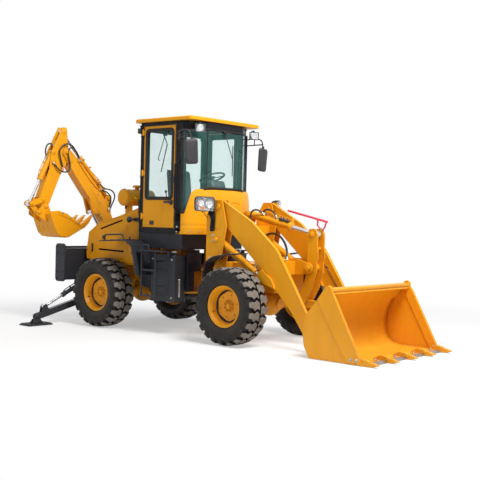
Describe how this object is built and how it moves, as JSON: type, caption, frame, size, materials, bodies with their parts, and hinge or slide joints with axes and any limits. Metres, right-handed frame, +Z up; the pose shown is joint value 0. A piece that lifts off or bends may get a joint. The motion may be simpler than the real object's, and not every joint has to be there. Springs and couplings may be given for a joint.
{
  "type": "backhoe loader",
  "caption": "Articulated backhoe loader with a glazed cab, a front bucket on lift arms, a side-shift digging arm folded behind, and stabilizer legs.",
  "frame": {"origin": "centre of the bounding box at ground level", "axes": "+X to the loader bucket, +Y to the machine's left, +Z up"},
  "size_m": [6.445, 3.52, 3.146],
  "materials": {
    "yellow_paint": "gloss industrial enamel",
    "black_paint": "satin black enamel",
    "driveline_grey": "painted castings",
    "tyre_rubber": "moulded rubber",
    "tinted_glass": "lightly tinted safety glass",
    "chrome_rod": "hard chrome plating",
    "cab_trim": "moulded trim and vinyl",
    "lamp_housing": "moulded housing"
  },
  "bodies": {
    "rear_unit": {"rear_frame": "yellow_paint", "rear_axle": "yellow_paint", "powertrain": "driveline_grey", "engine_hood": "yellow_paint", "air_cleaner": "yellow_paint", "mudguards_and_steps": "black_paint", "side_tanks": "black_paint", "cab_platform": "black_paint", "cab_frame": "black_paint", "cab_roof": "yellow_paint", "cab_nose": "yellow_paint", "cab_glass": "tinted_glass", "operator_station": "cab_trim", "mirrors": "black_paint", "side_shift_frame": "black_paint"},
    "front_unit": {"front_frame": "yellow_paint", "front_axle": "yellow_paint", "front_mudguards": "black_paint", "headlamps": "lamp_housing"},
    "wheel_front_right": {"tyre_front_right": "tyre_rubber", "rim_front_right": "yellow_paint"},
    "wheel_front_left": {"tyre_front_left": "tyre_rubber", "rim_front_left": "yellow_paint"},
    "wheel_rear_right": {"tyre_rear_right": "tyre_rubber", "rim_rear_right": "yellow_paint"},
    "wheel_rear_left": {"tyre_rear_left": "tyre_rubber", "rim_rear_left": "yellow_paint"},
    "door_right": {"door_right": "yellow_paint", "door_glass_right": "tinted_glass"},
    "door_left": {"door_left": "yellow_paint", "door_glass_left": "tinted_glass"},
    "loader_arms": {"loader_arms": "yellow_paint"},
    "lift_barrels": {"lift_ram_barrels": "yellow_paint"},
    "lift_rods": {"lift_ram_rods": "chrome_rod"},
    "tilt_barrel": {"tilt_ram_barrel": "yellow_paint"},
    "tilt_rod": {"tilt_ram_rod": "chrome_rod"},
    "tilt_rocker": {"tilt_rocker": "yellow_paint"},
    "tilt_link": {"tilt_link": "yellow_paint"},
    "loader_bucket": {"loader_bucket": "yellow_paint"},
    "swing_carriage": {"swing_carriage": "yellow_paint"},
    "swing_post": {"swing_post": "yellow_paint"},
    "boom": {"backhoe_boom": "yellow_paint"},
    "boom_ram_barrel": {"boom_ram_barrel": "yellow_paint"},
    "boom_ram_rod": {"boom_ram_rod": "chrome_rod"},
    "crowd_ram_barrel": {"crowd_ram_barrel": "yellow_paint"},
    "crowd_ram_rod": {"crowd_ram_rod": "chrome_rod"},
    "stick": {"dipper_stick": "yellow_paint"},
    "bucket_ram_barrel": {"bucket_ram_barrel": "yellow_paint"},
    "bucket_ram_rod": {"bucket_ram_rod": "chrome_rod"},
    "tipping_levers": {"tipping_levers": "yellow_paint"},
    "curl_link": {"curl_link": "yellow_paint"},
    "hoe_bucket": {"backhoe_bucket": "yellow_paint"},
    "stabilizer_leg_right": {"stabilizer_leg_right": "black_paint"},
    "stabilizer_barrel_right": {"stabilizer_ram_barrel_right": "black_paint"},
    "stabilizer_rod_right": {"stabilizer_ram_rod_right": "chrome_rod"},
    "stabilizer_pad_right": {"stabilizer_pad_right": "black_paint"},
    "stabilizer_leg_left": {"stabilizer_leg_left": "black_paint"},
    "stabilizer_barrel_left": {"stabilizer_ram_barrel_left": "black_paint"},
    "stabilizer_rod_left": {"stabilizer_ram_rod_left": "chrome_rod"},
    "stabilizer_pad_left": {"stabilizer_pad_left": "black_paint"}
  },
  "joints": [
    {"name": "steering", "type": "hinge", "parent": "rear_unit", "child": "front_unit", "pos_m": [-0.459, 0, 0.745], "axis": [0, 0, 1], "range_deg": [-35, 35]},
    {"name": "wheel_front_right", "type": "hinge", "parent": "front_unit", "child": "wheel_front_right", "pos_m": [0.847, -0.83, 0.525], "axis": [0, 1, 0], "continuous": true},
    {"name": "wheel_front_left", "type": "hinge", "parent": "front_unit", "child": "wheel_front_left", "pos_m": [0.847, 0.83, 0.525], "axis": [0, 1, 0], "continuous": true},
    {"name": "wheel_rear_right", "type": "hinge", "parent": "rear_unit", "child": "wheel_rear_right", "pos_m": [-1.765, -0.83, 0.525], "axis": [0, 1, 0], "continuous": true},
    {"name": "wheel_rear_left", "type": "hinge", "parent": "rear_unit", "child": "wheel_rear_left", "pos_m": [-1.765, 0.83, 0.525], "axis": [0, 1, 0], "continuous": true},
    {"name": "door_right", "type": "hinge", "parent": "rear_unit", "child": "door_right", "pos_m": [-1.067, -0.716, 2.3], "axis": [0, 0, -1], "range_deg": [0, 95]},
    {"name": "door_left", "type": "hinge", "parent": "rear_unit", "child": "door_left", "pos_m": [-1.067, 0.716, 2.3], "axis": [0, 0, 1], "range_deg": [0, 95]},
    {"name": "lift_arms", "type": "hinge", "parent": "front_unit", "child": "loader_arms", "pos_m": [0.385, 0, 1.86], "axis": [0, -1, 0], "range_deg": [0, 80]},
    {"name": "lift_barrels", "type": "hinge", "parent": "front_unit", "child": "lift_barrels", "pos_m": [0.365, 0, 1.4], "axis": [0, -1, 0], "range_deg": [-0.5, 76.35]},
    {"name": "lift_rods", "type": "slide", "parent": "lift_barrels", "child": "lift_rods", "axis": [0.8504, 0, -0.5262], "range_m": [-0.002, 0.5875]},
    {"name": "bucket_tilt", "type": "hinge", "parent": "loader_arms", "child": "loader_bucket", "pos_m": [2.085, 0, 0.25], "axis": [0, -1, 0], "range_deg": [-80, 45]},
    {"name": "tilt_rocker", "type": "hinge", "parent": "loader_arms", "child": "tilt_rocker", "pos_m": [1.597, 0, 1.058], "axis": [0, -1, 0], "range_deg": [-15.89, 27.86]},
    {"name": "tilt_link", "type": "hinge", "parent": "loader_bucket", "child": "tilt_link", "pos_m": [2.055, 0, 0.54], "axis": [0, -1, 0], "range_deg": [-44.77, 79.2]},
    {"name": "tilt_barrel", "type": "hinge", "parent": "front_unit", "child": "tilt_barrel", "pos_m": [0.475, 0, 1.765], "axis": [0, -1, 0], "range_deg": [-0.5, 82.45]},
    {"name": "tilt_rod", "type": "slide", "parent": "tilt_barrel", "child": "tilt_rod", "axis": [0.9771, 0, -0.2127], "range_m": [-0.2074, 0.1175]},
    {"name": "side_shift", "type": "slide", "parent": "rear_unit", "child": "swing_carriage", "axis": [0, -1, 0], "range_m": [0, 1.42]},
    {"name": "swing", "type": "hinge", "parent": "swing_carriage", "child": "swing_post", "pos_m": [-2.985, 0.71, 0.86], "axis": [0, 0, -1], "range_deg": [0, 180]},
    {"name": "boom", "type": "hinge", "parent": "swing_post", "child": "boom", "pos_m": [-2.985, 0.5, 1.15], "axis": [1, 0, 0], "range_deg": [-2, 85]},
    {"name": "boom_ram_barrel", "type": "hinge", "parent": "swing_post", "child": "boom_ram_barrel", "pos_m": [-2.985, 0.56, 0.79], "axis": [1, 0, 0], "range_deg": [-2.14, 70.16]},
    {"name": "boom_ram_rod", "type": "slide", "parent": "boom_ram_barrel", "child": "boom_ram_rod", "axis": [0, -0.5537, 0.8327], "range_m": [-0.4285, 0.012]},
    {"name": "stick", "type": "hinge", "parent": "boom", "child": "stick", "pos_m": [-2.985, -0.69, 2.712], "axis": [-1, 0, 0], "range_deg": [-4, 88]},
    {"name": "crowd_ram_barrel", "type": "hinge", "parent": "boom", "child": "crowd_ram_barrel", "pos_m": [-2.985, 0.23, 2.01], "axis": [1, 0, 0], "range_deg": [-8.61, 0.87]},
    {"name": "crowd_ram_rod", "type": "slide", "parent": "crowd_ram_barrel", "child": "crowd_ram_rod", "axis": [0, -0.6837, 0.7298], "range_m": [-0.4365, 0.0217]},
    {"name": "hoe_bucket", "type": "hinge", "parent": "stick", "child": "hoe_bucket", "pos_m": [-2.985, -1.104, 1.817], "axis": [-1, 0, 0], "range_deg": [-12, 80]},
    {"name": "tipping_levers", "type": "hinge", "parent": "stick", "child": "tipping_levers", "pos_m": [-2.985, -1.134, 1.935], "axis": [1, 0, 0], "range_deg": [-61.64, 9.67]},
    {"name": "curl_link", "type": "hinge", "parent": "tipping_levers", "child": "curl_link", "pos_m": [-2.985, -1.347, 1.858], "axis": [1, 0, 0], "range_deg": [-7.17, 44.99]},
    {"name": "bucket_ram_barrel", "type": "hinge", "parent": "stick", "child": "bucket_ram_barrel", "pos_m": [-2.985, -0.935, 2.69], "axis": [1, 0, 0], "range_deg": [-7.29, 1.52]},
    {"name": "bucket_ram_rod", "type": "slide", "parent": "bucket_ram_barrel", "child": "bucket_ram_rod", "axis": [0, -0.4438, -0.8961], "range_m": [-0.2127, 0.0336]},
    {"name": "stabilizer_right", "type": "hinge", "parent": "rear_unit", "child": "stabilizer_leg_right", "pos_m": [-2.465, -0.32, 0.44], "axis": [-1, 0, 0], "range_deg": [0, 55]},
    {"name": "stabilizer_barrel_right", "type": "hinge", "parent": "rear_unit", "child": "stabilizer_barrel_right", "pos_m": [-2.465, -0.415, 0.745], "axis": [-1, 0, 0], "range_deg": [-0.5, 60.4]},
    {"name": "stabilizer_rod_right", "type": "slide", "parent": "stabilizer_barrel_right", "child": "stabilizer_rod_right", "axis": [0, -0.9025, -0.4306], "range_m": [-0.2834, 0.002]},
    {"name": "stabilizer_pad_right", "type": "hinge", "parent": "stabilizer_leg_right", "child": "stabilizer_pad_right", "pos_m": [-2.465, -1.54, 0.13], "axis": [-1, 0, 0], "range_deg": [-17, 0]},
    {"name": "stabilizer_left", "type": "hinge", "parent": "rear_unit", "child": "stabilizer_leg_left", "pos_m": [-2.465, 0.32, 0.44], "axis": [1, 0, 0], "range_deg": [0, 55]},
    {"name": "stabilizer_barrel_left", "type": "hinge", "parent": "rear_unit", "child": "stabilizer_barrel_left", "pos_m": [-2.465, 0.415, 0.745], "axis": [1, 0, 0], "range_deg": [-0.5, 60.4]},
    {"name": "stabilizer_rod_left", "type": "slide", "parent": "stabilizer_barrel_left", "child": "stabilizer_rod_left", "axis": [0, 0.9025, -0.4306], "range_m": [-0.2834, 0.002]},
    {"name": "stabilizer_pad_left", "type": "hinge", "parent": "stabilizer_leg_left", "child": "stabilizer_pad_left", "pos_m": [-2.465, 1.54, 0.13], "axis": [1, 0, 0], "range_deg": [-17, 0]}
  ],
  "couplings": [
    {"joint": "lift_barrels", "follows": "lift_arms", "ratio": 0.94818},
    {"joint": "lift_rods", "follows": "lift_arms", "m_per_rad": 0.41936},
    {"joint": "tilt_rocker", "follows": "bucket_tilt", "ratio": -0.34202},
    {"joint": "tilt_link", "follows": "bucket_tilt", "ratio": -0.98379},
    {"joint": "tilt_barrel", "follows": "lift_arms", "ratio": 1.0243},
    {"joint": "tilt_rod", "follows": "bucket_tilt", "m_per_rad": 0.14708},
    {"joint": "boom_ram_barrel", "follows": "boom", "ratio": 0.8195},
    {"joint": "boom_ram_rod", "follows": "boom", "m_per_rad": -0.28747},
    {"joint": "crowd_ram_barrel", "follows": "stick", "ratio": -0.09217},
    {"joint": "crowd_ram_rod", "follows": "stick", "m_per_rad": -0.28287},
    {"joint": "tipping_levers", "follows": "hoe_bucket", "ratio": -0.76424},
    {"joint": "curl_link", "follows": "hoe_bucket", "ratio": 0.55612},
    {"joint": "bucket_ram_barrel", "follows": "hoe_bucket", "ratio": -0.08488},
    {"joint": "bucket_ram_rod", "follows": "hoe_bucket", "m_per_rad": -0.15091},
    {"joint": "stabilizer_barrel_right", "follows": "stabilizer_right", "ratio": 1.0891},
    {"joint": "stabilizer_rod_right", "follows": "stabilizer_right", "m_per_rad": -0.29315},
    {"joint": "stabilizer_pad_right", "follows": "stabilizer_right", "ratio": -0.3},
    {"joint": "stabilizer_barrel_left", "follows": "stabilizer_left", "ratio": 1.0891},
    {"joint": "stabilizer_rod_left", "follows": "stabilizer_left", "m_per_rad": -0.29315},
    {"joint": "stabilizer_pad_left", "follows": "stabilizer_left", "ratio": -0.3}
  ]
}
